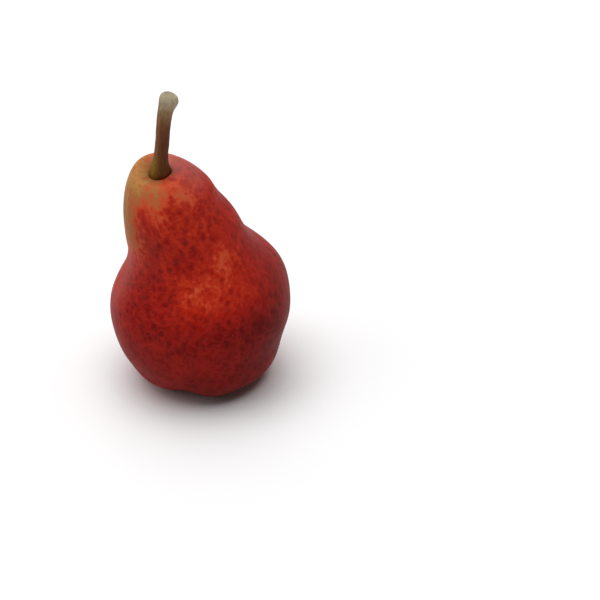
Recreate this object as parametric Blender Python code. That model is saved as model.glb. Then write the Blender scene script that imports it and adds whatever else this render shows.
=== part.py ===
"""A red dessert pear, picked, standing on its blossom end.

Three pieces: the flesh with its skin, the woody stalk in the hollow at the top, and the dried
calyx in the basin underneath. Sizes are in millimetres and angles in degrees, counted from +X
towards +Y as seen from above. The neck leans, so the pear is first described upright, as rings
round a straight core line, and each ring is then carried along as that line bends.
"""

import math

import bmesh
import bpy
import numpy as np
from mathutils import Matrix, Vector

MM = 0.001
UP = Vector((0.0, 0.0, 1.0))

# The skin of the upright pear, from the basin to the stalk's hollow: (distance from the core, height).
BASIN = ((2.6, 5.4), (5.0, 4.9), (8.4, 2.7))
OUTSIDE = (
    (12.6, 0.6),  # rim of the basin, which the pear stands on
    (19.0, 1.6),
    (26.4, 7.0),
    (30.8, 17.0),
    (32.8, 28.0),  # widest round the body
    (31.2, 38.5),
    (26.9, 47.5),
    (22.6, 56.0),  # waist
    (19.6, 64.0),
    (17.8, 72.0),  # neck
    (16.4, 80.0),
    (13.4, 87.3),
    (9.0, 91.7),  # crown round the stalk
)
HOLLOW = ((6.1, 91.7), (4.3, 90.6))

# The core line from the surface up: (length of a stretch, how far it tips the line, towards where).
# A turn starts and ends gently, and is added up in steps of BEND_STEP.
CORE_BENDS = (
    (26.0, 0.0, 217.0),
    (46.0, 24.0, 217.0),  # the neck leans to the front left
    (22.0, 19.0, 352.0),  # and the crown swings back to the right
)
BEND_STEP = 1.0

# Broad swellings and hollows of the skin: (out by, angle, angle width, height, height width).
SWELLINGS = (
    (-3.4, 30.0, 40.0, 52.5, 7.5),  # saddle behind the right shoulder
    (1.4, 15.0, 40.0, 43.0, 8.0),  # right shoulder
    (-1.8, 35.0, 55.0, 77.0, 14.0),  # flat back of the neck
    (-1.8, 175.0, 45.0, 84.0, 9.0),  # flat left side of the neck
    (1.0, 165.0, 35.0, 62.0, 8.0),  # fuller left side of the waist
    (0.7, 205.0, 25.0, 77.0, 6.0),  # fuller left side below the crown
    (1.2, 200.0, 30.0, 69.0, 5.5),  # and of the waist below it
    (-0.9, 75.0, 40.0, 90.0, 4.0),  # crown falling away at the back right
    (1.2, 8.0, 34.0, 79.0, 6.5),  # round right side of the crown
    (0.9, 346.0, 28.0, 63.5, 4.5),  # and of the neck below it
    (-0.5, 15.0, 35.0, 46.0, 6.0),  # flatter top of the shoulder
    (-1.3, 335.0, 40.0, 18.0, 8.0),  # flatter low on the right
    (-1.5, 224.0, 24.0, 9.0, 5.0),  # flatter left side of the foot
    (-2.3, 260.0, 15.0, 3.0, 7.0),  # notch in the front of the foot
    (0.5, 286.0, 10.0, 3.0, 5.0),  # full front lobe
    (-0.9, 300.0, 12.0, 1.0, 4.0),  # flatter to the right of it
    (1.0, 322.0, 18.0, 4.0, 5.0),  # fuller right side of the foot
)

# Five lobes round the basin, one for each cell of the core. The pear rests on their flat tips.
LOBES = 5
LOBE_FACES = 286.0
LOBE_DROP = 1.2
LOBE_SWELL = 0.8
LOBE_REACH = 9.0
LOBE_UNEVENNESS = 0.25
LOBE_TIP_RADIUS = 13.0
LOBE_TIP_WIDTH = 6.0

# The swellings and lobes grow from nothing to their full size between these distances from the core.
GROWN_BETWEEN = (6.0, 12.6)

# Holes that the stalk and the calyx stand in, and the gap left round them.
GAP = 0.3
STALK_HOLE_RADIUS = 3.9
STALK_HOLE_DEPTH = 5.0
CALYX_HOLE_RADIUS = 2.3
CALYX_HOLE_DEPTH = 2.4

SIDES = 72
RING_SPACING = 2.6

# The stalk: (length along it, radius) from its foot in the hole to its free end.
STALK_RADII = (
    (0.0, 2.5),
    (0.7, 3.2),
    (2.5, 3.5),
    (5.3, 3.75),  # fleshy collar, level with the skin
    (8.3, 3.1),
    (11.4, 2.6),
    (15.1, 2.5),
    (20.3, 2.5),
    (25.5, 2.6),
    (29.6, 2.8),
    (32.5, 3.3),  # knob where it parted from the spur
    (34.0, 3.2),
    (34.9, 2.4),
)
# Its bends, given as the core's are, from the core's direction at its foot.
STALK_BENDS = (
    (5.5, 12.0, 352.0),
    (8.0, 15.0, 79.0),  # back upright over the collar
    (8.0, -2.0, 0.0),
    (13.0, 15.0, 0.0),  # and over to the right near the knob
)
STALK_RING_SPACING = 0.9
STALK_BEVEL_RESOLUTION = 9

# The calyx: a short tube with five dried sepals spread over the top of the basin.
SEPALS = 5
SEPAL_TURNS = (0.0, 5.0, -4.0, 3.0, -6.0)
SEPAL_DIPS = (18.0, 22.0, 15.0, 20.0, 16.0)
SEPAL_START = 1.1
SEPAL_LENGTH = 5.2
SEPAL_WIDTH = 4.0
SEPAL_TIP_SHARE = 0.18
SEPAL_THICKNESS = 0.8
SEPAL_SIDES = 8
SEPALS_BELOW_RIM = 0.3
CALYX_TUBE_HEIGHT = 1.8
CALYX_TUBE_SIDES = 24

RED_SKIN = (0.42, 0.05, 0.03, 1.0)
STALK_BROWN = (0.16, 0.10, 0.05, 1.0)
CALYX_BROWN = (0.05, 0.03, 0.02, 1.0)


def clear_scene():
    """Removes whatever the scene holds."""
    for obj in list(bpy.data.objects):
        bpy.data.objects.remove(obj)


def plain_material(name, colour, roughness):
    """A Principled material of one colour."""
    material = bpy.data.materials.new(name)
    material.use_nodes = True
    shader = material.node_tree.nodes["Principled BSDF"]
    shader.inputs["Base Color"].default_value = colour
    shader.inputs["Roughness"].default_value = roughness
    shader.inputs["Metallic"].default_value = 0.0
    return material


def spline_through(points, spacing):
    """Points about spacing apart on an even cubic spline through the given ones."""
    knots = np.array(points)
    pull = np.eye(len(knots))
    for row in range(1, len(knots) - 1):
        pull[row, row - 1 : row + 2] = (1 / 6, 4 / 6, 1 / 6)
    poles = np.linalg.solve(pull, knots)
    poles = np.vstack((2 * poles[0] - poles[1], poles, 2 * poles[-1] - poles[-2]))
    smooth = []
    for index in range(len(knots) - 1):
        steps = max(1, round(np.linalg.norm(knots[index + 1] - knots[index]) / spacing))
        for step in range(steps):
            t = step / steps
            far = (1 - t) ** 3
            near = 3 * t**3 - 6 * t**2 + 4
            ahead = -3 * t**3 + 3 * t**2 + 3 * t + 1
            smooth.append((far, near, ahead, t**3) @ poles[index : index + 4] / 6)
    return [*smooth, knots[-1]]


def eased(share):
    """From 0 to 1 as share does, with a gentle start and end."""
    return share * share * (3 - 2 * share)


def compass(angle):
    """The level direction at an angle in degrees."""
    turn = math.radians(angle)
    return Vector((math.cos(turn), math.sin(turn), 0.0))


def tipped_towards(angle, tilt):
    """The rotation that tips +Z by tilt, in radians, towards the level direction at angle."""
    return Matrix.Rotation(tilt, 3, UP.cross(compass(angle)))


def along_bends(bends, length, turned):
    """Where a line of bent stretches is at a length, and the rotation of +Z to its direction there.

    The line starts at the origin, in the direction that the rotation turned gives +Z.
    """
    place = Vector()
    for stretch, turn, towards in bends:
        part = min(length, stretch)
        steps = math.ceil(part / BEND_STEP)
        for step in range(steps):
            share = (step + 0.5) / steps * part / stretch
            tip = tipped_towards(towards, math.radians(turn) * eased(share))
            place += tip @ turned @ UP * (part / steps)
        turned = tipped_towards(towards, math.radians(turn) * eased(part / stretch)) @ turned
        length -= part
    return place + turned @ UP * length, turned


def bell(offset, width):
    """1 at the middle of a swelling, falling smoothly to a third at its width."""
    return math.exp(-((offset / width) ** 2))


def swelling_at(angle, height):
    """How far the swellings push the skin out at a place on the upright pear."""
    out = 0.0
    for peak, mid_angle, angle_width, mid_height, height_width in SWELLINGS:
        across = (angle - mid_angle + 180.0) % 360.0 - 180.0
        out += peak * bell(across, angle_width) * bell(height - mid_height, height_width)
    return out


def lobe_at(angle, height):
    """How much of a lobe there is: 1 or so on its crest, as much below 0 between two."""
    from_first = math.radians(angle - LOBE_FACES)
    unevenness = 1.0 + LOBE_UNEVENNESS * math.cos(from_first)
    return math.cos(LOBES * from_first) * unevenness * bell(height, LOBE_REACH)


def carried_by_core(radius, height, angle):
    """Where the bent core line carries a ring point of the upright pear."""
    on_core, turned = along_bends(CORE_BENDS, height, Matrix.Identity(3))
    return on_core + turned @ (compass(angle) * radius)


def skin_point(radius, height, angle):
    """A point of the skin, with its swelling, its lobe and the lean of the neck."""
    none_at, full_at = GROWN_BETWEEN
    share = eased(max(0.0, min(1.0, (radius - none_at) / (full_at - none_at))))
    lobe = lobe_at(angle, height) * share
    radius += swelling_at(angle, height) * share + LOBE_SWELL * lobe
    height -= LOBE_DROP * lobe * bell(radius - LOBE_TIP_RADIUS, LOBE_TIP_WIDTH)
    return carried_by_core(radius, max(height, 0.0), angle)


def stalk_hole_bottom():
    """How high up the core line the stalk's hole starts."""
    return HOLLOW[-1][1] - STALK_HOLE_DEPTH


def flesh_rings():
    """(distance from the core, height, maker) of each ring of the flesh, from below to the top."""
    calyx_hole_top = BASIN[0][1] + CALYX_HOLE_DEPTH
    skin = spline_through((*BASIN, *OUTSIDE, *HOLLOW), RING_SPACING)
    return [
        (0.0, calyx_hole_top, carried_by_core),
        (CALYX_HOLE_RADIUS, calyx_hole_top, carried_by_core),
        *((*point, skin_point) for point in skin),
        (STALK_HOLE_RADIUS, stalk_hole_bottom(), carried_by_core),
        (0.0, stalk_hole_bottom(), carried_by_core),
    ]


def make_flesh():
    """The flesh: a sphere whose rings are moved to the rings of the pear."""
    rings = flesh_rings()
    steps = len(rings) - 1
    body = bmesh.new()
    bmesh.ops.create_uvsphere(body, u_segments=SIDES, v_segments=steps, radius=1.0)
    for vertex in body.verts:
        from_bottom = math.acos(max(-1.0, min(1.0, -vertex.co.z)))
        radius, height, maker = rings[round(from_bottom / math.pi * steps)]
        angle = math.degrees(math.atan2(vertex.co.y, vertex.co.x))
        vertex.co = maker(radius, height, angle) * MM
    mesh = bpy.data.meshes.new("flesh")
    body.to_mesh(mesh)
    body.free()
    mesh.shade_smooth()
    mesh.materials.append(plain_material("red skin", RED_SKIN, 0.45))
    return bpy.data.objects.new("flesh", mesh)


def make_stalk():
    """The stalk: a tube of changing radius, bent, with its foot a gap above the hole's bottom."""
    foot, turned = along_bends(CORE_BENDS, stalk_hole_bottom() + GAP, Matrix.Identity(3))
    stations = spline_through(STALK_RADII, STALK_RING_SPACING)
    curve = bpy.data.curves.new("stalk", "CURVE")
    curve.dimensions = "3D"
    curve.bevel_depth = MM
    curve.bevel_resolution = STALK_BEVEL_RESOLUTION
    curve.use_fill_caps = True
    line = curve.splines.new("POLY")
    line.points.add(len(stations) - 1)
    for point, (length, radius) in zip(line.points, stations):
        place, _ = along_bends(STALK_BENDS, length, turned)
        point.co = (*(foot + place) * MM, 1.0)
        point.radius = radius
    curve.materials.append(plain_material("woody stalk", STALK_BROWN, 0.75))
    return bpy.data.objects.new("stalk", curve)


def make_sepal(index):
    """One sepal: a flat pointed blade that dips outwards from the calyx tube."""
    blade = bmesh.new()
    bmesh.ops.create_cone(
        blade,
        segments=SEPAL_SIDES,
        radius1=0.5,
        radius2=0.5 * SEPAL_TIP_SHARE,
        depth=1.0,
        cap_ends=True,
    )
    middle_at = SEPAL_START / SEPAL_LENGTH + 0.5
    bmesh.ops.translate(blade, vec=(0.0, 0.0, middle_at), verts=blade.verts)
    size = Vector((SEPAL_THICKNESS, SEPAL_WIDTH, SEPAL_LENGTH)) * MM
    bmesh.ops.scale(blade, vec=size, verts=blade.verts)
    mesh = bpy.data.meshes.new("sepal")
    blade.to_mesh(mesh)
    blade.free()
    sepal = bpy.data.objects.new("sepal", mesh)
    faces = LOBE_FACES + (index + 0.5) * 360.0 / SEPALS + SEPAL_TURNS[index]
    lies_down = 90.0 + SEPAL_DIPS[index]
    sepal.rotation_euler = (0.0, math.radians(lies_down), math.radians(faces))
    sepal.location.z = -SEPALS_BELOW_RIM * MM
    return sepal


def make_calyx():
    """The calyx's tube, with its foot in the hole above it. Its origin is at the rim of the hole."""
    height = CALYX_HOLE_DEPTH - GAP + CALYX_TUBE_HEIGHT
    tube = bmesh.new()
    bmesh.ops.create_cone(
        tube,
        segments=CALYX_TUBE_SIDES,
        radius1=CALYX_HOLE_RADIUS - GAP,
        radius2=CALYX_HOLE_RADIUS - GAP,
        depth=height,
        cap_ends=True,
    )
    bmesh.ops.translate(tube, vec=(0.0, 0.0, height / 2 - CALYX_TUBE_HEIGHT), verts=tube.verts)
    bmesh.ops.scale(tube, vec=(MM, MM, MM), verts=tube.verts)
    mesh = bpy.data.meshes.new("calyx")
    tube.to_mesh(mesh)
    tube.free()
    mesh.materials.append(plain_material("dried calyx", CALYX_BROWN, 0.9))
    return bpy.data.objects.new("calyx", mesh)


def join_sepals(calyx, sepals):
    """Fuses the collection's sepals into the calyx, and removes them."""
    for index in range(SEPALS):
        sepals.objects.link(make_sepal(index))
    union = calyx.modifiers.new("sepals", "BOOLEAN")
    union.operation = "UNION"
    union.operand_type = "COLLECTION"
    union.collection = sepals
    graph = bpy.context.evaluated_depsgraph_get()
    joined = bpy.data.meshes.new_from_object(calyx.evaluated_get(graph))
    calyx.modifiers.clear()
    calyx.data = joined
    for sepal in list(sepals.objects):
        bpy.data.objects.remove(sepal)
    bpy.data.collections.remove(sepals)


def middle(values):
    """Halfway between the least and the greatest."""
    return (min(values) + max(values)) / 2


def build():
    """Builds the pear, with the middle of its outline from above at the origin."""
    clear_scene()
    pear = bpy.data.collections.new("pear")
    sepals = bpy.data.collections.new("sepals")
    for collection in (pear, sepals):
        bpy.context.scene.collection.children.link(collection)
    core = bpy.data.objects.new("core", None)
    flesh, stalk, calyx = make_flesh(), make_stalk(), make_calyx()
    for piece in (core, flesh, stalk, calyx):
        pear.objects.link(piece)
    join_sepals(calyx, sepals)
    calyx.location = (0.0, 0.0, BASIN[0][1] * MM)
    for piece in (flesh, stalk, calyx):
        piece.parent = core
    corners = [vertex.co for vertex in flesh.data.vertices]
    core.location.x = -middle([corner.x for corner in corners])
    core.location.y = -middle([corner.y for corner in corners])


build()
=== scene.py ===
"""The looks of a red dessert pear that stands on its blossom end.

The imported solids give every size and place. Around them the skin, the woody stalk and the dried
calyx are made finer, each with its own finish, and a white floor, a white sky and soft lamps
stand in for a light tent. Lengths are in millimetres, and in metres where their note says so.
Angles are in degrees, counted from +X towards +Y as seen from above, so 270 faces the camera.
The neck leans, so places on the skin are given on the upright pear: an angle and a height on its
core.
"""

import logging
import math
from collections.abc import Iterator
from contextlib import contextmanager
from dataclasses import dataclass, field
from enum import Enum

import bpy
import numpy as np
from bpy.types import Material, Mesh, Node, NodeSocket, Object
from mathutils import Matrix, Vector, noise


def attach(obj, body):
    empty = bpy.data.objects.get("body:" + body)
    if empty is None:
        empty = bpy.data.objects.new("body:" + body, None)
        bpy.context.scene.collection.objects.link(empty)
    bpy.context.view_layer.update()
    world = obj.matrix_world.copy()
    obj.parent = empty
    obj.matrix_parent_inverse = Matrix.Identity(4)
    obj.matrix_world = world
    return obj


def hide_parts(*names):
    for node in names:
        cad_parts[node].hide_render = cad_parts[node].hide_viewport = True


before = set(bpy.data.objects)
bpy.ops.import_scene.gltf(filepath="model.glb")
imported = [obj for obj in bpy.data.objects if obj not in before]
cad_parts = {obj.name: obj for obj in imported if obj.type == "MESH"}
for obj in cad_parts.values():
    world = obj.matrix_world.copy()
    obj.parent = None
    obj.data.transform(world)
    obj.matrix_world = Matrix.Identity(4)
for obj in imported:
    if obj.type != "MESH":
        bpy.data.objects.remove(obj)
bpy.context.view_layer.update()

MM = 0.001
BODY = "root"
PHOTO_SIDE = 600

log = logging.getLogger("pear")

Colour = tuple[float, float, float, float]
Span = tuple[float, float]
Place = tuple[float, float, float]
Array = np.ndarray
Stops = tuple[tuple[float, str], ...]
Bends = tuple[Place, ...]


def linear(code: str) -> Colour:
    """The linear colour, with an alpha of 1, for six hex digits of sRGB."""
    parts = [int(code[start : start + 2], 16) / 255 for start in (0, 2, 4)]
    return (*(c / 12.92 if c <= 0.04045 else ((c + 0.055) / 1.055) ** 2.4 for c in parts), 1.0)


def feed(node: Node, inputs: dict) -> None:
    """Gives a node's inputs their numbers and colours, and links those that take a socket.

    Args:
        node: The node.
        inputs: What each input takes, by the input's name or number.
    """
    for name, value in inputs.items():
        if isinstance(value, NodeSocket):
            node.id_data.links.new(value, node.inputs[name])
        else:
            node.inputs[name].default_value = value


def add_node(material: Material, kind: str, inputs: dict, **settings: object) -> Node:
    """Adds a node to a material.

    Args:
        material: The material whose tree takes the node.
        kind: The node's type, without its ShaderNode in front.
        inputs: What each input takes, by the input's name or number.
        **settings: The node's own properties.

    Returns:
        The new node.
    """
    node = material.node_tree.nodes.new(f"ShaderNode{kind}")
    for name, value in settings.items():
        setattr(node, name, value)
    feed(node, inputs)
    return node


def new_material(name: str) -> tuple[Material, Node]:
    """Makes a material with a Principled shader.

    Args:
        name: The material's name.

    Returns:
        The material and its shader node.
    """
    material = bpy.data.materials.new(name)
    material.use_nodes = True
    return material, material.node_tree.nodes["Principled BSDF"]


def attribute(material: Material, name: str, output: str = "Fac") -> NodeSocket:
    """One of the piece's own attributes, as a number, or with output Vector as a vector."""
    return add_node(material, "Attribute", {}, attribute_name=name).outputs[output]


def calculated(
    material: Material, operation: str, *inputs: float | Place | NodeSocket, kind: str = "Math"
) -> NodeSocket:
    """What a Math node makes of its inputs, or for vectors a VectorMath node."""
    return add_node(material, kind, dict(enumerate(inputs)), operation=operation).outputs[0]


def textured(
    material: Material, place: NodeSocket, size: float, detail: float, roughness: float = 0.5
) -> Node:
    """A noise texture with lumps of a size, and finer layers of a number and a strength."""
    inputs = {"Vector": place, "Scale": 1.0 / size, "Detail": detail, "Roughness": roughness}
    return add_node(material, "TexNoise", inputs)


def uneven(material: Material, place: NodeSocket, size: float, detail: float) -> NodeSocket:
    """Noise from about -0.5 to 0.5."""
    raw = textured(material, place, size, detail, 0.55)
    return calculated(material, "SUBTRACT", raw.outputs["Fac"], 0.5)


def mapped(
    material: Material, source: NodeSocket, given: Span, wanted: Span, kind: str = "LINEAR"
) -> NodeSocket:
    """Numbers in a given range, turned into a wanted one and held past its ends."""
    inputs = dict(enumerate((source, *given, *wanted)))
    return add_node(material, "MapRange", inputs, interpolation_type=kind).outputs[0]


def mixed(
    material: Material, share: NodeSocket, first: NodeSocket | Colour, second: Colour
) -> NodeSocket:
    """The first colour with a share of the second."""
    inputs = {0: share, 6: first, 7: second}
    return add_node(material, "Mix", inputs, data_type="RGBA").outputs[2]


def coloured(material: Material, share: NodeSocket, colours: Stops) -> NodeSocket:
    """Runs through colours as a number rises.

    Args:
        material: The material that takes them.
        share: The number, from 0 to 1.
        colours: Where on the way each colour is reached, and the colour.

    Returns:
        The socket with the colour.
    """
    ramp = add_node(material, "ValToRGB", {"Fac": share})
    stops = ramp.color_ramp.elements
    while len(stops) < len(colours):
        stops.new(1.0)
    for stop, (place, code) in zip(stops, colours):
        stop.position = place
        stop.color = linear(code)
    return ramp.outputs["Color"]


def relief(material: Material, height: NodeSocket, strength: float, depth: float) -> NodeSocket:
    """Fine relief for a shader, where a height of 1 stands depth out."""
    inputs = {"Height": height, "Strength": strength, "Distance": depth * MM}
    return add_node(material, "Bump", inputs).outputs[0]


def select_only(*pieces: Object) -> None:
    """Makes some objects the selected ones, and the first of them the active one.

    Args:
        *pieces: The objects to work on.
    """
    bpy.ops.object.select_all(action="DESELECT")
    for piece in pieces:
        piece.select_set(True)
    bpy.context.view_layer.objects.active = pieces[0]


@contextmanager
def editing(piece: Object) -> Iterator[None]:
    """Opens an object in edit mode with all of its mesh selected, and closes it after.

    Args:
        piece: The object to edit.
    """
    select_only(piece)
    bpy.ops.object.mode_set(mode="EDIT")
    bpy.ops.mesh.select_all(action="SELECT")
    yield
    bpy.ops.object.mode_set(mode="OBJECT")


def inset_in_steps(steps: tuple[Span, ...]) -> None:
    """Insets the selected face again and again, by a width and a depth each time."""
    for width, depth in steps:
        bpy.ops.mesh.inset(thickness=width * MM, depth=depth * MM)


def apply_modifier(piece: Object, kind: str, **settings: object) -> None:
    """Adds a modifier to an object and applies it.

    Args:
        piece: The object to change.
        kind: The modifier's type name.
        **settings: The modifier's properties.
    """
    select_only(piece)
    modifier = piece.modifiers.new(kind.title(), kind)
    for name, value in settings.items():
        setattr(modifier, name, value)
    bpy.ops.object.modifier_apply(modifier=modifier.name)


def smooth_surface(piece: Object, levels: int) -> None:
    """Splits each face in four a number of times, and rounds the whole."""
    apply_modifier(piece, "SUBSURF", levels=levels, render_levels=levels)


def joined(pieces: list[Object], name: str) -> Object:
    """Joins pieces into one.

    Args:
        pieces: The pieces.
        name: The name of the whole.

    Returns:
        The whole.
    """
    select_only(*pieces)
    bpy.ops.object.join()
    whole = bpy.context.object
    whole.name = whole.data.name = name
    return whole


def points_of(mesh: Mesh) -> Array:
    """Reads a mesh's points.

    Args:
        mesh: The mesh, in metres.

    Returns:
        One row for each point, in millimetres.
    """
    flat = np.empty(len(mesh.vertices) * 3)
    mesh.vertices.foreach_get("co", flat)
    return flat.reshape(-1, 3) / MM


def move_points(mesh: Mesh, points: Array) -> None:
    """Moves a mesh's points to places in millimetres, one row for each."""
    mesh.vertices.foreach_set("co", (points * MM).ravel())
    mesh.update()


def store(mesh: Mesh, name: str, values: Array) -> None:
    """Stores a number, or a row of three, for each point of a mesh."""
    kind, socket = ("FLOAT_VECTOR", "vector") if values.ndim == 2 else ("FLOAT", "value")
    mesh.attributes.new(name, kind, "POINT").data.foreach_set(socket, values.ravel())


def noise_at(points: Array, size: float, seed: float) -> Array:
    """Smooth noise from about -1 to 1, with lumps of a size and a seed that shifts them."""
    return np.array([noise.noise(Vector(row)) for row in points / size + seed])


def hollows_at(points: Array, size: float, seed: float) -> Array:
    """Smooth noise from about 0 to 1, where 1 is the deepest."""
    return (noise_at(points, size, seed) + 1.0) / 2.0


def bell(offset: Array, width: float) -> Array:
    """1 in the middle, falling smoothly to a third at the width."""
    return np.exp(-((offset / width) ** 2))


def eased(share: Array) -> Array:
    """From 0 to 1 as share does, with a gentle start and end."""
    held = np.clip(share, 0.0, 1.0)
    return held * held * (3 - 2 * held)


def rise(values: Array, span: Span) -> Array:
    """0 up to the span's start and 1 from its end on, eased between them."""
    return eased((values - span[0]) / (span[1] - span[0]))


def aside(angle: Array, middle: float) -> Array:
    """How far angles lie to one side or the other of a middle one."""
    return (angle - middle + 180.0) % 360.0 - 180.0


def spline_through(points: tuple[Span, ...], spacing: float) -> Array:
    """Points about spacing apart on an even cubic spline through the given ones.

    Args:
        points: The points to pass through.
        spacing: Distance between the points of the result.

    Returns:
        One row for each point.
    """
    knots = np.array(points)
    pull = np.eye(len(knots))
    for row in range(1, len(knots) - 1):
        pull[row, row - 1 : row + 2] = (1 / 6, 4 / 6, 1 / 6)
    poles = np.linalg.solve(pull, knots)
    poles = np.vstack((2 * poles[0] - poles[1], poles, 2 * poles[-1] - poles[-2]))
    smooth = []
    for index in range(len(knots) - 1):
        steps = max(1, round(np.linalg.norm(knots[index + 1] - knots[index]) / spacing))
        for t in np.arange(steps) / steps:
            shares = ((1 - t) ** 3, 3 * t**3 - 6 * t**2 + 4, -3 * t**3 + 3 * t**2 + 3 * t + 1, t**3)
            smooth.append(np.array(shares) @ poles[index : index + 4] / 6)
    return np.array([*smooth, knots[-1]])


def compass(angle: float) -> Array:
    """The level direction at an angle."""
    turn = math.radians(angle)
    return np.array((math.cos(turn), math.sin(turn), 0.0))


def tips_towards(angle: float, tilts: Array) -> Array:
    """The rotations that tip +Z towards a level direction.

    Args:
        angle: The direction's angle.
        tilts: How far each tips, in radians.

    Returns:
        One rotation for each tilt.
    """
    axis = Vector((0.0, 0.0, 1.0)).cross(Vector(compass(angle)))
    quarter = np.array(Matrix.Rotation(math.radians(90.0), 3, axis))
    along_axis = np.outer(axis, axis)
    plain = np.eye(3) - along_axis
    cosine, sine = np.cos(tilts)[:, None, None], np.sin(tilts)[:, None, None]
    return along_axis + plain * cosine + (quarter - along_axis) * sine


@dataclass(frozen=True)
class BentLine:
    """A line that starts at the origin and bends in space.

    Attributes:
        bends: Stretches of the line, how far each tips it, and towards which angle.
        reach: How far the line is followed.
        start: The rotation that gives +Z the line's first direction.
        step: Spacing of the places where it is worked out.
    """

    bends: Bends
    reach: float
    start: Array = field(default_factory=lambda: np.eye(3))
    step: float = 0.25

    def turned(self, lengths: Array) -> Array:
        """The rotations of +Z to the line's direction.

        Args:
            lengths: Distances along the line.

        Returns:
            One rotation for each distance.
        """
        total = np.broadcast_to(self.start, (len(lengths), 3, 3))
        for stretch, turn, towards in self.bends:
            total = tips_towards(towards, math.radians(turn) * eased(lengths / stretch)) @ total
            lengths = lengths - stretch
        return total

    def places(self) -> tuple[Array, Array]:
        """Works the line out.

        Returns:
            Distances along the line, and the place at each.
        """
        lengths = np.arange(0.0, self.reach, self.step)
        steps = self.turned(lengths + self.step / 2)[:, :, 2] * self.step
        return lengths, np.vstack((np.zeros(3), np.cumsum(steps, axis=0)[:-1]))

    def at(self, lengths: Array) -> Array:
        """The line's places at distances along it, one row for each."""
        known, places = self.places()
        return np.column_stack([np.interp(lengths, known, places[:, axis]) for axis in range(3)])

    def carry(self, upright: Array) -> Array:
        """Carries points from beside an upright line to beside this one."""
        beside = np.einsum("nij,nj->ni", self.turned(upright[:, 2])[:, :, :2], upright[:, :2])
        return self.at(upright[:, 2]) + beside

    def straighten(self, points: Array) -> Array:
        """Finds where points beside the bent line were beside the upright one.

        Args:
            points: One row for each point.

        Returns:
            One row for each point: x and y from the line, and the length along it.
        """
        lengths, places = self.places()
        directions = self.turned(lengths)[:, :, 2]
        ahead = points @ directions.T - (places * directions).sum(axis=1)
        after = np.clip(np.argmax(ahead < 0, axis=1), 1, None)
        rows = np.arange(len(points))
        gap = ahead[rows, after - 1] - ahead[rows, after]
        along = lengths[after - 1] + self.step * ahead[rows, after - 1] / gap
        offset = points - self.at(along)
        beside = np.einsum("nij,ni->nj", self.turned(along)[:, :, :2], offset)
        return np.column_stack((beside, along))


CORE = BentLine(((26.0, 0.0, 217.0), (46.0, 24.0, 217.0), (22.0, 19.0, 352.0)), 110.0)


class Mask(Enum):
    """What a patch of the skin changes."""

    RED = "red"
    BLOOM = "bloom_and_sheen"
    RUSSET_AND_SHADE = "russet_and_shade"
    FLECKS = "flecks"
    BLOTCHES = "blotches"
    STREAKS = "streaks"


@dataclass(frozen=True)
class Patch:
    """A soft patch of the skin, placed on the upright pear.

    Attributes:
        mask: What it changes.
        amount: By how much in its middle.
        angle: Where its middle is round the core.
        across: Its width round the core, in degrees.
        height: Where its middle is up the core.
        along: Its width up the core.
    """

    mask: Mask
    amount: float
    angle: float
    across: float
    height: float
    along: float

    def at(self, angle: Array, height: Array) -> Array:
        """How much of the patch there is at angles and heights on the skin."""
        level = bell(height - self.height, self.along)
        return self.amount * bell(aside(angle, self.angle), self.across) * level


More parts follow.
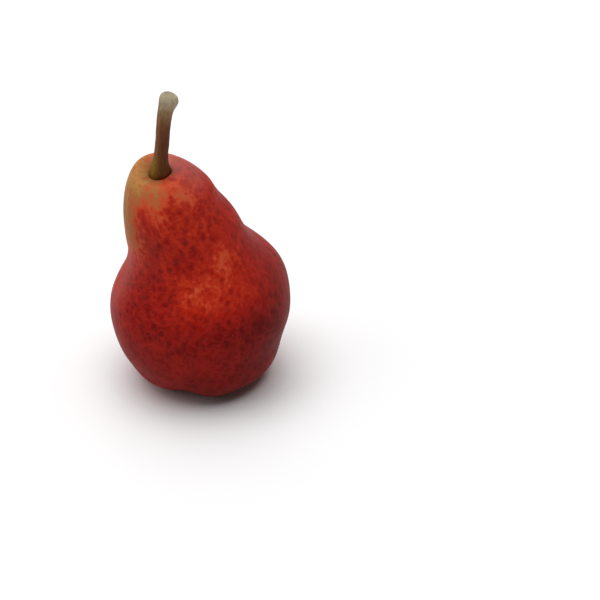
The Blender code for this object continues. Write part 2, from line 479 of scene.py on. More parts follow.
@dataclass(frozen=True)
class SkinFinish:
    """Waxy skin of a ripe red pear, grown and unpolished.

    The colour runs from tan through orange to deep crimson as the red mask rises. Dark flecks with
    lighter skin between them crowd the body, and pale pores sit among them. The neck has soft
    blotches, and fine streaks at its left. The thin wax only shines near the outline; a pale
    painted sheen on the crown and both flanks stands in for its reflections, and the russet
    colour is also laid in the hollow round the stalk as painted shade.

    Attributes:
        ramp: The colours as the red rises.
        bloom_and_sheen, russet_and_shade, pore: Colours of the bloom and painted sheen, of
        the russet and the painted shade round the stalk, and of the pores.
        fleck_spacing, blotch_spacing: Distance between two flecks, and between two blotches.
        spot_edge: Where a spot starts to fade and where it ends, in shares of the spacing.
        spot_merge, spot_stretch: How much spots run together, and the squeeze of their length.
        pull, pull_along: How often the grid of spots bends in a spacing, and how much more along
            the pear than round it.
        grain_size, vein_size, cloud_size, patch_size, relief_size: Sizes of the fine grain, the
            veins, the broad clouds, the wax's duller patches and the fine relief.
        streak_width, streak_length: Size of a streak along the neck.
        fleck_red, blotch_red, grain_red, vein_red, cloud_red, streak_red: How much each layer
            changes the red.
        vein_edge: How far from its middle a vein reaches, as a share of the noise that winds it.
        vein_bloom: How much bloom shows on the veins.
        pore_radius, pore_softness, pore_share, pore_height: Size, soft edge and strength of a
            pore, and how far it stands out of the relief.
        roughness, roughness_swing, gloss: The wax's roughness, its swing, and the gloss.
        relief_depth: Depth of the fine relief.
    """

    ramp: Stops = (
        (0.00, "b88247"),
        (0.12, "b06d3b"),
        (0.25, "bd6238"),
        (0.39, "cf4c2b"),
        (0.50, "bc2e17"),
        (0.62, "aa2113"),
        (0.75, "941810"),
        (0.88, "7d110d"),
        (1.00, "640d0b"),
    )
    # Pale pinkish grey: painted sheen on the crown and flanks, and a faint pale bloom on the veins.
    bloom_and_sheen: str = "c4a29a"
    # Russet brown: the skin's russet, and painted shade in the hollow round the stalk.
    russet_and_shade: str = "4c2517"
    pore: str = "c46a48"
    fleck_spacing: float = 2.5
    fleck_red: float = 0.21
    blotch_spacing: float = 2.9
    blotch_red: float = 0.26
    spot_edge: Span = (0.08, 0.56)
    spot_merge: float = 0.35
    spot_stretch: float = 0.72
    pull: float = 0.6
    pull_along: float = 1.3
    grain_size: float = 1.3
    grain_red: float = 0.34
    vein_size: float = 3.6
    vein_red: float = -0.06
    vein_edge: float = 0.16
    vein_bloom: float = 0.012
    cloud_size: float = 8.0
    cloud_red: float = 0.30
    streak_width: float = 1.5
    streak_length: float = 14.0
    streak_red: float = 0.6
    pore_radius: float = 0.24
    pore_softness: float = 0.7
    pore_share: float = 0.24
    roughness: float = 0.5
    roughness_swing: float = 0.16
    patch_size: float = 2.4
    gloss: float = 0.045
    relief_size: float = 0.55
    relief_depth: float = 0.05
    pore_height: float = 0.5

    def material(self) -> Material:
        """Makes the skin's material.

        Returns:
            The material.
        """
        made, shader = new_material("waxy_red_pear_skin")
        upright = attribute(made, "upright", "Vector")
        winding = uneven(made, upright, self.vein_size, 2.0)
        away = calculated(made, "ABSOLUTE", winding)
        veins = mapped(made, away, (0.0, self.vein_edge), (1.0, 0.0), "SMOOTHSTEP")
        pores = self._pores(made, upright)
        # Russet of the skin, and painted shade in the hollow round the stalk.
        russet_and_shade = attribute(made, Mask.RUSSET_AND_SHADE.value)
        # Painted sheen from the patches, with a little pale bloom on the light veins.
        bloom_and_sheen = attribute(made, Mask.BLOOM.value)
        bloom_and_sheen = calculated(made, "MULTIPLY_ADD", veins, self.vein_bloom, bloom_and_sheen)
        colour = coloured(made, self._redness(made, upright, veins), self.ramp)
        for code, share in ((self.russet_and_shade, russet_and_shade), (self.bloom_and_sheen, bloom_and_sheen), (self.pore, pores)):
            colour = mixed(made, share, colour, linear(code))
        dull = uneven(made, upright, self.patch_size, 3.0)
        grain = uneven(made, upright, self.relief_size, 2.0)
        height = calculated(made, "MULTIPLY_ADD", pores, self.pore_height, grain)
        wax = {
            "Base Color": colour,
            "Roughness": calculated(
                made, "MULTIPLY_ADD", dull, self.roughness_swing, self.roughness
            ),
            "Normal": relief(made, height, 0.25, self.relief_depth),
            "IOR": 1.45,
            "Specular IOR Level": self.gloss,
        }
        feed(shader, wax)
        return made

    def _redness(self, made: Material, upright: NodeSocket, veins: NodeSocket) -> NodeSocket:
        """Adds flecks, grain, veins, blotches, clouds and streaks to the red mask.

        Args:
            made: The material.
            upright: The place on the upright pear.
            veins: How much of a light vein there is.

        Returns:
            The socket with how red the skin is.
        """
        meridian = attribute(made, "meridian", "Vector")
        layers = (
            (self._spots(made, upright, self.fleck_spacing), self.fleck_red, Mask.FLECKS),
            (uneven(made, upright, self.grain_size, 3.0), self.grain_red, Mask.FLECKS),
            (veins, self.vein_red, None),
            (self._spots(made, upright, self.blotch_spacing), self.blotch_red, Mask.BLOTCHES),
            (uneven(made, upright, self.cloud_size, 3.0), self.cloud_red, None),
            (uneven(made, meridian, self.streak_width, 4.0), self.streak_red, Mask.STREAKS),
        )
        total = attribute(made, Mask.RED.value)
        for layer, amount, mask in layers:
            if mask is not None:
                layer = calculated(made, "MULTIPLY", layer, attribute(made, mask.value))
            total = calculated(made, "MULTIPLY_ADD", layer, amount, total)
        return total

    def _grid(self, made: Material, upright: NodeSocket, spacing: float) -> NodeSocket:
        """Coordinates for spots that are pulled out of line, and drawn out along the pear.

        Args:
            made: The material.
            upright: The place on the upright pear.
            spacing: Distance between two spots.

        Returns:
            The socket with the coordinates, in millimetres.
        """
        warp = textured(made, upright, spacing / self.pull, 2.0).outputs["Color"]
        far = (spacing, spacing, spacing * self.pull_along)
        bent = calculated(made, "MULTIPLY_ADD", warp, far, upright, kind="VectorMath")
        squeeze = (1.0, 1.0, self.spot_stretch)
        return calculated(made, "MULTIPLY", bent, squeeze, kind="VectorMath")

    def _spots(self, made: Material, upright: NodeSocket, spacing: float) -> NodeSocket:
        """Soft dark spots, one in each cell of an uneven grid.

        Args:
            made: The material.
            upright: The place on the upright pear.
            spacing: Distance between two spots.

        Returns:
            The socket with the spots, 0.5 in the middle of one and -0.5 between them.
        """
        inputs = {"Vector": self._grid(made, upright, spacing), "Scale": 1.0 / spacing}
        inputs["Smoothness"] = self.spot_merge
        cells = add_node(made, "TexVoronoi", inputs, feature="SMOOTH_F1").outputs
        return mapped(made, cells["Distance"], self.spot_edge, (0.5, -0.5), "SMOOTHSTEP")

    def _pores(self, made: Material, upright: NodeSocket) -> NodeSocket:
        """Small pale pores, one in the middle of each fleck, some of them fainter.

        Args:
            made: The material.
            upright: The place on the upright pear.

        Returns:
            The socket with how much of a pore there is.
        """
        grid = self._grid(made, upright, self.fleck_spacing)
        inputs = {"Vector": grid, "Scale": 1.0 / self.fleck_spacing}
        cells = add_node(made, "TexVoronoi", inputs).outputs
        rim = self.pore_radius / self.fleck_spacing
        edge = (rim * (1.0 - self.pore_softness), rim * (1.0 + self.pore_softness))
        dots = mapped(made, cells["Distance"], edge, (self.pore_share, 0.0))
        return calculated(made, "MULTIPLY", dots, cells["Color"])


@dataclass(frozen=True)
class BarkFinish:
    """Dry woody stalk: olive at its foot, red brown along it and grey tan at the knob.

    Fine fibres run along it; its side turned from the light is painted shade, a dark red brown.

    Attributes:
        ramp: The colours from its foot to the knob.
        span: The lengths between which they run.
        shaded_side: Colour of the painted shade on its darker side.
        blotch_size, blotch_shift: Size of the blotches, and how far they shift the colours.
        fibre_width, fibre_stretch: Width of a fibre, and how many times longer it is.
        fibre_shades: Brightness of the darkest and the lightest fibre.
    """

    ramp: Stops = (
        (0.00, "86621e"),
        (0.24, "86621e"),
        (0.42, "7c4f2a"),
        (0.66, "7c4f2a"),
        (0.84, "8a6c49"),
        (1.00, "a89a80"),
    )
    span: Span = (3.0, 36.8)
    shaded_side: str = "4e1c0c"
    blotch_size: float = 2.2
    blotch_shift: float = 6.0
    fibre_width: float = 0.35
    fibre_stretch: float = 9.0
    fibre_shades: Span = (0.72, 1.22)

    def material(self) -> Material:
        """Makes the stalk's material.

        Returns:
            The material.
        """
        made, shader = new_material("dry_woody_stalk")
        straight = attribute(made, "straight", "Vector")
        length = add_node(made, "SeparateXYZ", {0: straight}).outputs["Z"]
        blotches = textured(made, straight, self.blotch_size, 3.0).outputs["Fac"]
        place = calculated(made, "MULTIPLY_ADD", blotches, self.blotch_shift, length)
        colour = coloured(made, mapped(made, place, self.span, (0.0, 1.0)), self.ramp)
        # Painted shade: the stalk's darker side is mixed towards a dark red brown.
        colour = mixed(made, attribute(made, "shaded_side"), colour, linear(self.shaded_side))
        squeeze = (1.0, 1.0, 1.0 / self.fibre_stretch)
        drawn = calculated(made, "MULTIPLY", straight, squeeze, kind="VectorMath")
        fibres = textured(made, drawn, self.fibre_width, 3.0).outputs["Fac"]
        inputs = {0: colour, "Scale": mapped(made, fibres, (0.3, 0.7), self.fibre_shades)}
        lit = add_node(made, "VectorMath", inputs, operation="SCALE").outputs[0]
        bark = {
            "Base Color": lit,
            "Roughness": 0.7,
            "Normal": relief(made, fibres, 0.5, 0.12),
            "Specular IOR Level": 0.15,
        }
        feed(shader, bark)
        return made


@dataclass(frozen=True)
class WitheredFinish:
    """Dried blossom: brown black, papery and dull, with paler creases."""

    dark: str = "2a1b12"
    pale: str = "6e5236"
    crease_size: float = 0.7

    def material(self) -> Material:
        """Makes the calyx's material.

        Returns:
            The material.
        """
        made, shader = new_material("withered_calyx")
        place = add_node(made, "TexCoord", {}).outputs["Object"]
        creases = textured(made, place, self.crease_size * MM, 4.0).outputs["Fac"]
        papery = {
            "Base Color": mixed(made, creases, linear(self.dark), linear(self.pale)),
            "Roughness": 0.9,
            "Normal": relief(made, creases, 0.6, 0.2),
        }
        feed(shader, papery)
        return made


@dataclass(frozen=True)
class PaleFloorFinish:
    """Matt white card."""

    shade: str = "f6f6f6"

    def material(self) -> Material:
        """Makes the floor's material.

        Returns:
            The material.
        """
        made, shader = new_material("matt_white_card")
        card = {"Base Color": linear(self.shade), "Roughness": 1.0, "Specular IOR Level": 0.0}
        feed(shader, card)
        return made


@dataclass(frozen=True)
class Crown:
    """The part of the crown that a change reaches.

    Attributes:
        edge: Distances from the core between which the change fades out.
        foot: Heights up the core between which it sets in.
    """

    edge: Span
    foot: Span

    def at(self, height: Array, from_core: Array) -> Array:
        """How much of the change there is at heights and distances from the core."""
        return (1.0 - rise(from_core, self.edge)) * rise(height, self.foot)


def patches_of(mask: Mask, *rows: tuple[float, ...]) -> tuple[Patch, ...]:
    """Patches that change the same mask, each given by its other fields in their order."""
    return tuple(Patch(mask, *row) for row in rows)


def round_core(points: Array) -> tuple[Array, Array, Array]:
    """Angles of points round the upright line, their heights, and how far off it they are."""
    x, y, height = points.T
    return np.degrees(np.arctan2(y, x)), height, np.hypot(x, y)


def wrapped(angle: Array, radius: float, height: Array) -> Array:
    """Places on an upright tube of a radius."""
    turn = np.radians(angle)
    return np.column_stack((np.cos(turn) * radius, np.sin(turn) * radius, height))


@dataclass
class Stalk:
    """The woody stalk, standing in the hollow of the crown.

    Attributes:
        finish: How the stalk looks.
        radii: Its radius at lengths from its foot in the hole to its free end.
        bends: Its bends, from the core's direction at its foot.
        reach: How far its line is followed.
        foot: How high up the pear's core its foot stands.
        spacing: Distance between the rings that it is extruded from.
        sides: Sides of a ring.
        levels: How often each face is split afterwards.
        scar: Steps of the scar at its free end: how far in each goes, and how far out.
        ridges, ridge_height: How many low ridges run along it, and their height.
        bark_depth, bark_size, bark_squeeze: Depth and size of the bark's unevenness, and the
            squeeze of its length that draws it out.
        shade, shade_faces: How dark its painted shade is, and the angle that its darker side faces.
        shade_end: Lengths between which the painted shade fades out.
    """

    finish: BarkFinish = field(default_factory=BarkFinish)
    radii: tuple[Span, ...] = (
        (0.0, 2.5),
        (0.7, 3.2),
        (2.5, 3.5),
        (5.3, 3.75),
        (8.3, 3.1),
        (11.4, 2.6),
        (15.1, 2.5),
        (20.3, 2.5),
        (25.5, 2.6),
        (29.6, 2.8),
        (32.5, 3.3),
        (34.0, 3.2),
        (34.9, 2.4),
    )
    bends: Bends = ((5.5, 12.0, 352.0), (8.0, 15.0, 79.0), (8.0, -2.0, 0.0), (13.0, 15.0, 0.0))
    reach: float = 40.0
    foot: float = 85.9
    spacing: float = 0.9
    sides: int = 32
    levels: int = 2
    scar: tuple[Span, ...] = ((0.45, 0.05), (0.35, -0.35), (0.7, 0.2))
    ridges: int = 9
    ridge_height: float = 0.09
    bark_depth: float = 0.10
    bark_size: float = 0.9
    bark_squeeze: float = 0.35
    shade: float = 0.75
    shade_faces: float = 320.0
    shade_end: Span = (17.0, 33.0)

    def build(self) -> Object:
        """Builds and dresses the stalk.

        Returns:
            The finished piece.
        """
        stations = spline_through(self.radii, self.spacing)
        bpy.ops.mesh.primitive_circle_add(
            vertices=self.sides, radius=stations[0][1] * MM, fill_type="NGON"
        )
        stalk = bpy.context.object
        stalk.name = stalk.data.name = "pear_stalk"
        with editing(stalk):
            for (below, thick), (above, thin) in zip(stations, stations[1:]):
                bpy.ops.mesh.extrude_region_move(
                    TRANSFORM_OT_translate={"value": (0.0, 0.0, (above - below) * MM)}
                )
                bpy.ops.transform.resize(
                    value=(thin / thick, thin / thick, 1.0), center_override=(0.0, 0.0, above * MM)
                )
            inset_in_steps(self.scar)
            bpy.ops.mesh.select_all(action="SELECT")
            bpy.ops.mesh.normals_make_consistent(inside=False)
        smooth_surface(stalk, self.levels)
        self._shape(stalk.data)
        stalk.data.shade_smooth()
        stalk.data.materials.append(self.finish.material())
        return stalk

    def _shape(self, mesh: Mesh) -> None:
        """Roughens the straight stalk, stores its coordinates, bends it and seats it.

        Args:
            mesh: The stalk's mesh.
        """
        straight = points_of(mesh)
        angle, length, radius = round_core(straight)
        wander = 0.5 * np.sin(length / 5.0)
        ridge = self.ridge_height * (np.cos(self.ridges * np.radians(angle) + wander) - 1.0)
        drawn_out = straight * (1.0, 1.0, self.bark_squeeze)
        rough = self.bark_depth * (noise_at(drawn_out, self.bark_size, 5.1) - 1.0)
        on_shaft = rise(length, (4.0, 8.0)) * (1.0 - 0.5 * rise(length, (30.0, 33.0)))
        change = (ridge + rough) * on_shaft * np.clip(radius / 1.5, 0.0, 1.0)
        scale = 1.0 + change / np.maximum(radius, 0.5)
        shaped = straight * np.column_stack((scale, scale, np.ones_like(scale)))
        # Painted shade on the side that faces shade_faces, fading out towards the knob.
        facing = np.cos(np.radians(angle - self.shade_faces))
        shaded = self.shade * rise(facing, (-0.1, 0.8)) * (1.0 - rise(length, self.shade_end))
        store(mesh, "straight", straight)
        store(mesh, "shaded_side", shaded)
        place, line = self.seat()
        move_points(mesh, place + line.carry(shaped))

    def seat(self) -> tuple[Array, BentLine]:
        """Where the stalk stands on the core, and the line that it follows from there."""
        foot = np.array([self.foot])
        return CORE.at(foot), BentLine(self.bends, self.reach, CORE.turned(foot)[0])

    def clearance(self, points: Array) -> tuple[Array, Array]:
        """How far points near the foot are from the stalk.

        Args:
            points: The points.

        Returns:
            The gap at each point, and the direction from the stalk's middle to it.
        """
        place, line = self.seat()
        straight = line.straighten(points - place)
        _, length, reach = round_core(straight)
        gap = reach - np.interp(length, *np.array(self.radii).T)
        beside = np.column_stack((straight[:, :2] / reach[:, None], np.zeros(len(points))))
        return gap, np.einsum("nij,nj->ni", line.turned(length), beside)


@dataclass
class Skin:
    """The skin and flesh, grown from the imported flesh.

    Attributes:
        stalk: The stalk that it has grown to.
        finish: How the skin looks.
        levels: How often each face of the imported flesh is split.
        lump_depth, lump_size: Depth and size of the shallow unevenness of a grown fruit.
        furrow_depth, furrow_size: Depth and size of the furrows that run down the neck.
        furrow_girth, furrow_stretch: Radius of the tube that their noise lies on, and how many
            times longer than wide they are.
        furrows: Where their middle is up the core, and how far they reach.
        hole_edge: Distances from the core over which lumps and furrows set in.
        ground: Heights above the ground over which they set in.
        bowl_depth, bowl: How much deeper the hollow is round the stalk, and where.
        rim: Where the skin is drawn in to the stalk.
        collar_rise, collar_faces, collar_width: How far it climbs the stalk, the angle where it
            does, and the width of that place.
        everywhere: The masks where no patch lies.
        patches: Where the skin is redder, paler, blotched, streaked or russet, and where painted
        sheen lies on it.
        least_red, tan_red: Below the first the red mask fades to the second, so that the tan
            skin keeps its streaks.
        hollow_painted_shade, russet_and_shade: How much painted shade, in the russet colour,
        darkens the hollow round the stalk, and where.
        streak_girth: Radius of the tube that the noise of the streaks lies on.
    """

    stalk: Stalk
    finish: SkinFinish = field(default_factory=SkinFinish)
    levels: int = 2
    lump_depth: float = 0.22
    lump_size: float = 9.0
    furrow_depth: float = 0.07
    furrow_size: float = 1.3
    furrow_girth: float = 14.0
    furrow_stretch: float = 12.0
    furrows: Span = (78.0, 16.0)
    hole_edge: Span = (5.0, 8.0)
    ground: Span = (0.02, 1.52)
    bowl_depth: float = 0.9
    bowl: Crown = Crown((4.0, 10.0), (86.0, 89.0))
    rim: Crown = Crown((4.2, 7.0), (87.5, 89.5))
    collar_rise: float = 0.9
    collar_faces: float = 320.0
    collar_width: float = 60.0
    everywhere: tuple[tuple[Mask, float], ...] = (
        (Mask.RED, 0.73),
        (Mask.FLECKS, 0.9),
        (Mask.BLOTCHES, 0.1),
        (Mask.STREAKS, 0.12),
    )
    patches: tuple[Patch, ...] = (
        *patches_of(
            Mask.RED,
            (-0.48, 204, 42, 90, 15),
            (-0.33, 212, 27, 73, 12),
            (-0.26, 268, 16, 90, 4.5),
            (-0.16, 242, 16, 92, 5),
            (-0.15, 302, 28, 89, 5),
            (0.16, 292, 12, 86.5, 3.5),
            (-0.10, 266, 12, 83, 6),
            (-0.54, 150, 80, 91.5, 4.5),
            (-0.12, 322, 34, 88, 6),
            (0.20, 250, 16, 77, 9),
            (0.16, 283, 22, 64, 6),
            (-0.15, 284, 34, 54, 11),
            (-0.09, 272, 13, 54, 6),
            (-0.10, 309, 12, 58, 6),
            (0.16, 226, 40, 50, 18),
            (0.13, 280, 70, 35, 6),
            (0.07, 305, 26, 38, 9),
            (0.06, 240, 22, 64, 9),
            (0.16, 270, 300, 21, 12),
            (0.16, 322, 30, 28, 12),
            (0.20, 285, 80, 9, 9),
            (0.12, 352, 28, 46, 16),
            (-0.12, 125, 55, 56, 20),
            (0.10, 62, 45, 36, 16),
            (0.12, 150, 50, 18, 12),
        ),
        *patches_of(
            Mask.FLECKS,
            (-0.60, 280, 300, 16, 16),
            (-0.30, 350, 32, 48, 18),
            (-0.20, 240, 80, 90, 8),
            (-0.10, 285, 60, 78, 10),
        ),
        Patch(Mask.BLOTCHES, 0.70, 285, 50, 76, 10),
        Patch(Mask.STREAKS, 1, 218, 50, 76, 20),
        # Painted sheen: pale patches on the crown and both flanks, standing in for reflected light.
        *patches_of(
            Mask.BLOOM,
            (0.04, 350, 25, 50, 25),
            (0.22, 20, 50, 90, 7),
            (0.22, 78, 34, 91.5, 4.5),
            (0.11, 195, 14, 46, 26),
        ),
        *patches_of(
            Mask.RUSSET_AND_SHADE,
            (0.24, 214, 26, 78, 13),
            (0.26, 238, 17, 74, 9),
            (0.12, 216, 16, 62, 10),
            (0.6, 285, 40, 3.5, 5),
        ),
    )
    least_red: float = 0.30
    tan_red: float = 0.09
    # Painted shade: russet brown laid in the hollow round the stalk, where shade falls.
    hollow_painted_shade: float = 0.42
    russet_and_shade: Crown = Crown((3.8, 8.4), (85.0, 86.0))
    streak_girth: float = 20.0

    def build(self) -> Object:
        """Builds and dresses the skin.

        Returns:
            The finished piece.
        """
        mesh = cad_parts["flesh"].data.copy()
        mesh.name = "pear_skin"
        mesh.materials.clear()
        skin = bpy.data.objects.new("pear_skin", mesh)
        bpy.context.scene.collection.objects.link(skin)
        with editing(skin):
            bpy.ops.mesh.remove_doubles(threshold=0.01 * MM)
            bpy.ops.mesh.tris_convert_to_quads(
                face_threshold=math.radians(60.0), shape_threshold=math.radians(60.0)
            )
        smooth_surface(skin, self.levels)
        upright = CORE.straighten(points_of(skin.data))
        self._carve(skin.data, upright)
        self._close_collar(skin.data, upright)
        self._paint(skin.data, upright)
        skin.data.shade_smooth()
        skin.data.materials.append(self.finish.material())
        return skin

    def _carve(self, mesh: Mesh, upright: Array) -> None:
        """Gives the skin its shallow lumps and furrows and its deeper hollow, all inwards.

        Args:
            mesh: The skin's mesh.
            upright: Its points on the upright pear.
        """
        angle, height, from_core = round_core(upright)
        middle, reach = self.furrows
        lumps = self.lump_depth * hollows_at(upright, self.lump_size, 3.7)
        tube = wrapped(angle, self.furrow_girth, height / self.furrow_stretch)
        furrows = hollows_at(tube, self.furrow_size, 8.2)
        furrows *= self.furrow_depth * bell(height - middle, reach)
        depth = (lumps + furrows) * rise(from_core, self.hole_edge)
        depth += self.bowl_depth * self.bowl.at(height, from_core)
        points = points_of(mesh)
        depth *= rise(points[:, 2], self.ground)
        normals = np.empty(points.size)
        mesh.vertices.foreach_get("normal", normals)
        move_points(mesh, points - depth[:, None] * normals.reshape(-1, 3))

    def _close_collar(self, mesh: Mesh, upright: Array) -> None:
        """Draws the rim of the hollow in until it touches the stalk.

        Args:
            mesh: The skin's mesh.
            upright: Its points on the upright pear.
        """
        angle, height, from_core = round_core(upright)
        share = self.rim.at(height, from_core)
        near = np.flatnonzero(share > 0.0)
        share = share[near]
        points = points_of(mesh)
        climb = bell(aside(angle[near], self.collar_faces), self.collar_width)
        points[near, 2] += self.collar_rise * share * climb
        gap, outwards = self.stalk.clearance(points[near])
        points[near] -= outwards * (gap * share)[:, None]
        move_points(mesh, points)

    def _paint(self, mesh: Mesh, upright: Array) -> None:
        """Stores the coordinates and masks that the finish reads.

        Args:
            mesh: The skin's mesh.
            upright: Its points on the upright pear.
        """
        angle, height, from_core = round_core(upright)
        squeezed = height * self.finish.streak_width / self.finish.streak_length
        store(mesh, "upright", upright)
        store(mesh, "meridian", wrapped(angle, self.streak_girth, squeezed))
        start = dict(self.everywhere)
        masks = {mask: np.full(len(angle), start.get(mask, 0.0)) for mask in Mask}
        for patch in self.patches:
            masks[patch.mask] += patch.at(angle, height)
        # Painted shade: the hollow round the stalk is darkened with the russet colour.
        masks[Mask.RUSSET_AND_SHADE] += self.hollow_painted_shade * self.russet_and_shade.at(height, from_core)
        red, room = masks[Mask.RED], self.least_red - self.tan_red
        fading = self.tan_red + room * np.exp((red - self.least_red) / room)
        masks[Mask.RED] = np.where(red < self.least_red, fading, red)
        for mask, values in masks.items():
            store(mesh, mask.value, values)


@dataclass
class Calyx:
    """The dried remains of the blossom in the basin underneath.

    Attributes:
        finish: How it looks.
        rim: Height of the basin's middle, which the sepals spread from.
        cup_radius: Radius of the cup in the middle.
        cup_depth: How far the cup reaches down from the rim, and up into its hole.
        mouth: Steps of the cup's mouth: how far in each goes, and how far out.
        dent_depth, dent_size: Depth and size of the dents in its side.
        faces: The angle that the lobe between the first and the last sepal faces.
        turns: How far each sepal is turned out of an even star.
        dips: How far each sepal dips below level.
        root, length: How far from the core a sepal starts and ends.
        width, thickness: Width and thickness of a sepal.
        crinkle, crinkle_size: Depth and size of its crinkles.
        cupping, curl: How far its edges bend down, and its tip.
        stamens, stamen_length: How many dried stamens stand in the cup, and their length.
        stamen_radii: Radius of a stamen at its tip and at its foot.
        stamen_turn: The turn from one stamen to the next.
    """

    finish: WitheredFinish = field(default_factory=WitheredFinish)
    rim: float = 5.4
    cup_radius: float = 2.0
    cup_depth: Span = (1.8, 2.1)
    mouth: tuple[Span, ...] = ((0.35, 0.0), (0.35, -1.1), (0.5, -0.3))
    dent_depth: float = 0.12
    dent_size: float = 0.8
    faces: float = 286.0
    turns: tuple[float, ...] = (0.0, 5.0, -4.0, 3.0, -6.0)
    dips: tuple[float, ...] = (18.0, 22.0, 15.0, 20.0, 16.0)
    root: float = 0.9
    length: float = 6.2
    width: float = 3.9
    thickness: float = 0.3
    crinkle: float = 0.22
    crinkle_size: float = 1.3
    cupping: float = 0.30
    curl: float = 0.36
    stamens: int = 11
    stamen_length: float = 2.2
    stamen_radii: Span = (0.05, 0.11)
    stamen_turn: float = 137.5

    def build(self) -> list[Object]:
        """Builds and dresses the calyx.

        Returns:
            The cup, the sepals and the stamens.
        """
        pieces = [self._cup(), self._sepals(), self._stamens()]
        material = self.finish.material()
        for piece in pieces:
            piece.data.shade_smooth()
            piece.data.materials.append(material)
        return pieces

    def _cup(self) -> Object:
        """The short cup that the sepals and stamens grow from.

        Returns:
            The cup.
        """
        down, up = self.cup_depth
        bpy.ops.mesh.primitive_cylinder_add(
            vertices=24, radius=self.cup_radius * MM, depth=(down + up) * MM
        )
        cup = bpy.context.object
        cup.name = cup.data.name = "calyx_cup"
        for face in cup.data.polygons:
            face.select = face.normal.z < -0.9
        select_only(cup)
        bpy.ops.object.mode_set(mode="EDIT")
        inset_in_steps(self.mouth)
        bpy.ops.object.mode_set(mode="OBJECT")
        smooth_surface(cup, 2)
        points = points_of(cup.data)
        points[:, 2] += self.rim + (up - down) / 2.0
        inwards = self.dent_depth * (noise_at(points, self.dent_size, 1.9) - 1.0)
        points[:, :2] *= 1.0 + (inwards / self.cup_radius)[:, None]
        move_points(cup.data, points)
        return cup

    def _sepals(self) -> Object:
        """Five curled, pointed sepals.

        Returns:
            The sepals, joined in one piece.
        """
        made = []
        for index, (turn, dip) in enumerate(zip(self.turns, self.dips)):
            bpy.ops.mesh.primitive_grid_add(x_subdivisions=16, y_subdivisions=8, size=1.0)
            sepal = bpy.context.object
            faces = self.faces + (index + 0.5) * 360.0 / len(self.turns) + turn
            self._shape_sepal(sepal.data, faces, dip, 4.0 + index)
            apply_modifier(sepal, "SOLIDIFY", thickness=self.thickness * MM, offset=0.0)
            smooth_surface(sepal, 1)
            made.append(sepal)
        return joined(made, "calyx_sepals")

    def _shape_sepal(self, mesh: Mesh, faces: float, dip: float, seed: float) -> None:
        """Turns a flat grid into a pointed blade that dips, curls and crinkles.

        Args:
            mesh: The grid, 1 m square.
            faces: The angle that the sepal points to.
            dip: How far it dips below level.
            seed: Picks its crinkles.
        """
        grid = points_of(mesh) * MM
        along, across = grid[:, 0] + 0.5, grid[:, 1] * 2.0
        outline = np.sqrt(np.clip(1.0 - along**2.2, 0.0, 1.0)) * (0.55 + 0.6 * along)
        reach = self.root + (self.length - self.root) * along
        side = across * (self.width / 2.0) * np.maximum(outline, 0.06)
        flat = np.column_stack((reach, side, np.zeros_like(reach)))
        crinkle = self.crinkle * noise_at(flat, self.crinkle_size, seed) * (0.3 + along)
        bent = self.cupping * across**2 * outline + self.curl * along**3
        slope, turn = math.radians(dip), math.radians(faces)
        level = reach * math.cos(slope)
        x = level * math.cos(turn) - side * math.sin(turn)
        y = level * math.sin(turn) + side * math.cos(turn)
        z = self.rim - 0.3 - reach * math.sin(slope) - bent + crinkle
        move_points(mesh, np.column_stack((x, y, z)))

    def _stamens(self) -> Object:
        """Thin dried stamens that stand in the cup and lean over.

        Returns:
            The stamens, joined in one piece.
        """
        made = []
        tip, foot = self.stamen_radii
        for index in range(self.stamens):
            turn = math.radians(index * self.stamen_turn)
            out = 0.3 + 0.9 * (index % 3) / 2.0
            bpy.ops.mesh.primitive_cone_add(
                vertices=8, radius1=tip * MM, radius2=foot * MM, depth=self.stamen_length * MM
            )
            stamen = bpy.context.object
            with editing(stamen):
                bpy.ops.mesh.subdivide(number_cuts=5)
            points = points_of(stamen.data)
            share = 0.5 - points[:, 2] / self.stamen_length
            lean = out + 0.9 * share**2
            x = math.cos(turn) * lean + points[:, 0] + 0.15 * np.sin(share * 5.0 + index)
            y = math.sin(turn) * lean + points[:, 1] + 0.15 * np.cos(share * 4.0 + index)
            z = self.rim - 0.9 - share * (1.6 + 0.3 * math.sin(index * 2.1))
            move_points(stamen.data, np.column_stack((x, y, z)))
            made.append(stamen)
        whole = joined(made, "calyx_stamens")
        with editing(whole):
            bpy.ops.mesh.normals_make_consistent(inside=False)
        return whole


@dataclass(frozen=True)
class SoftLamp:
    """A large soft lamp, so far off that it lights all the floor alike.

    Attributes:
        name: The lamp's name.
        power: Light on a surface that faces it, in watts per square metre.
        azimuth: The side that it stands on.
        elevation: How far above level it stands.
        spread: How much of the sky it fills, in degrees.
    """

    name: str
    power: float
    azimuth: float
    elevation: float
    spread: float

    def build(self) -> None:
        """Hangs the lamp."""
        above = math.radians(self.elevation)
        place = Vector(compass(self.azimuth) * math.cos(above) + (0.0, 0.0, math.sin(above)))
        bpy.ops.object.light_add(
            type="SUN", location=place, rotation=place.to_track_quat("Z", "Y").to_euler()
        )
        lamp = bpy.context.object
        lamp.name = self.name
        lamp.data.energy = self.power
        lamp.data.angle = math.radians(self.spread)


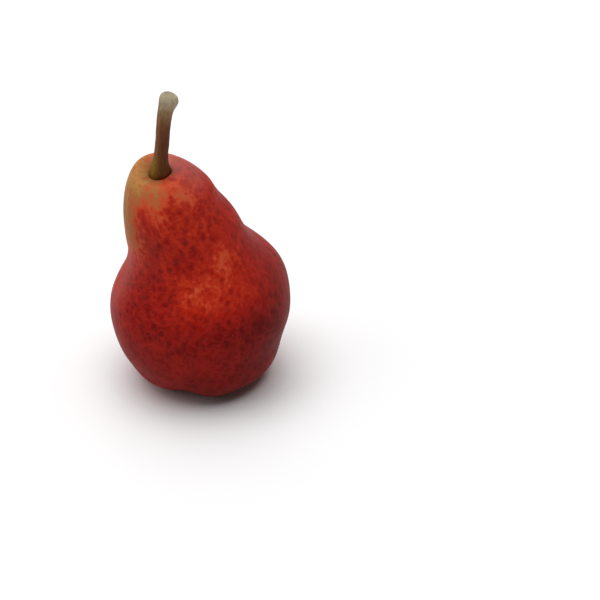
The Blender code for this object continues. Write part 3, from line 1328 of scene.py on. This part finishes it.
@dataclass
class Studio:
    """A white floor under a dim white sky, with soft lamps overhead, at the left and behind.

    Attributes:
        floor: How the floor looks.
        floor_radius: Radius of the floor, in metres.
        sky, sky_seen: How strongly the sky lights the pear, and how bright it looks.
        lamps: The lamps.
    """

    floor: PaleFloorFinish = field(default_factory=PaleFloorFinish)
    floor_radius: float = 60.0
    sky: float = 0.08
    sky_seen: float = 1.1
    lamps: tuple[SoftLamp, ...] = (
        SoftLamp("overhead_lamp", 2.5, 0.0, 90.0, 65.0),
        SoftLamp("left_lamp", 0.6, 190.0, 40.0, 50.0),
        SoftLamp("rear_lamp", 0.6, 110.0, 45.0, 55.0),
    )

    def build(self) -> Object:
        """Lays the floor, and sets the sky and the lamps.

        Returns:
            The floor.
        """
        bpy.ops.mesh.primitive_circle_add(
            vertices=96, radius=self.floor_radius, fill_type="NGON"
        )
        floor = bpy.context.object
        floor.name = floor.data.name = "white_floor"
        floor.data.materials.append(self.floor.material())
        for lamp in self.lamps:
            lamp.build()
        self._hang_sky()
        bpy.context.scene.view_settings.view_transform = "Standard"
        return floor

    def _hang_sky(self) -> None:
        """Makes the sky: white where it is seen, and dim in the light that it gives."""
        world = bpy.data.worlds.new("white_sky")
        world.use_nodes = True
        nodes = world.node_tree.nodes
        seen = nodes.new("ShaderNodeLightPath").outputs["Is Camera Ray"]
        strength = nodes.new("ShaderNodeMapRange")
        feed(strength, {"Value": seen, "To Min": self.sky, "To Max": self.sky_seen})
        feed(nodes["Background"], {"Color": (1.0, 1.0, 1.0, 1.0), "Strength": strength.outputs[0]})
        bpy.context.scene.world = world


@dataclass
class ViewCamera:
    """The camera at the photograph's viewing angle.

    Attributes:
        elevation: How far above level it looks down from.
        distance: Distance to the pear's middle along the view, in metres.
        focal_pixels: Focal length in pixels of the square photograph.
        sensor: Width of the sensor.
        looks_at: The point that falls on pixel, in metres.
        pixel: Where that point is in the photograph.
    """

    elevation: float = 32.0
    distance: float = 0.560
    focal_pixels: float = 1544.4
    sensor: float = 36.0
    looks_at: Place = (0.0, 0.0, 0.030)
    pixel: Span = (200.5, 301.0)

    def build(self) -> None:
        """Places the camera."""
        tilt = math.radians(self.elevation)
        ahead = Vector((0.0, math.cos(tilt), -math.sin(tilt)))
        right = Vector((1.0, 0.0, 0.0))
        above = right.cross(ahead)
        pixel_size = self.distance / self.focal_pixels
        off_right, off_down = ((pixels - PHOTO_SIDE / 2) * pixel_size for pixels in self.pixel)
        place = Vector(self.looks_at) - ahead * self.distance - right * off_right + above * off_down
        turned_up = math.radians(90.0 - self.elevation)
        bpy.ops.object.camera_add(location=place, rotation=(turned_up, 0.0, 0.0))
        camera = bpy.context.object
        camera.data.sensor_width = self.sensor
        camera.data.lens = self.focal_pixels / PHOTO_SIDE * self.sensor
        camera.data.clip_start, camera.data.clip_end = 0.01, 100.0
        bpy.context.scene.camera = camera


def report(piece: Object) -> None:
    """Logs how many triangles a piece has."""
    triangles = sum(len(face.vertices) - 2 for face in piece.data.polygons)
    log.info("%s: %d triangles", piece.name, triangles)


def main() -> None:
    """Builds the pear and its studio."""
    logging.basicConfig(level=logging.INFO, format="%(name)s: %(message)s")
    ViewCamera().build()
    Studio().build()
    stalk = Stalk()
    made = [
        ("flesh", "skin", Skin(stalk).build()),
        ("stalk", "stalk", stalk.build()),
        *(("calyx", "calyx", piece) for piece in Calyx().build()),
    ]
    for node, slot, piece in made:
        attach(piece, BODY)
        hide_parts(node)
        report(piece)


if __name__ == "__main__":
    main()
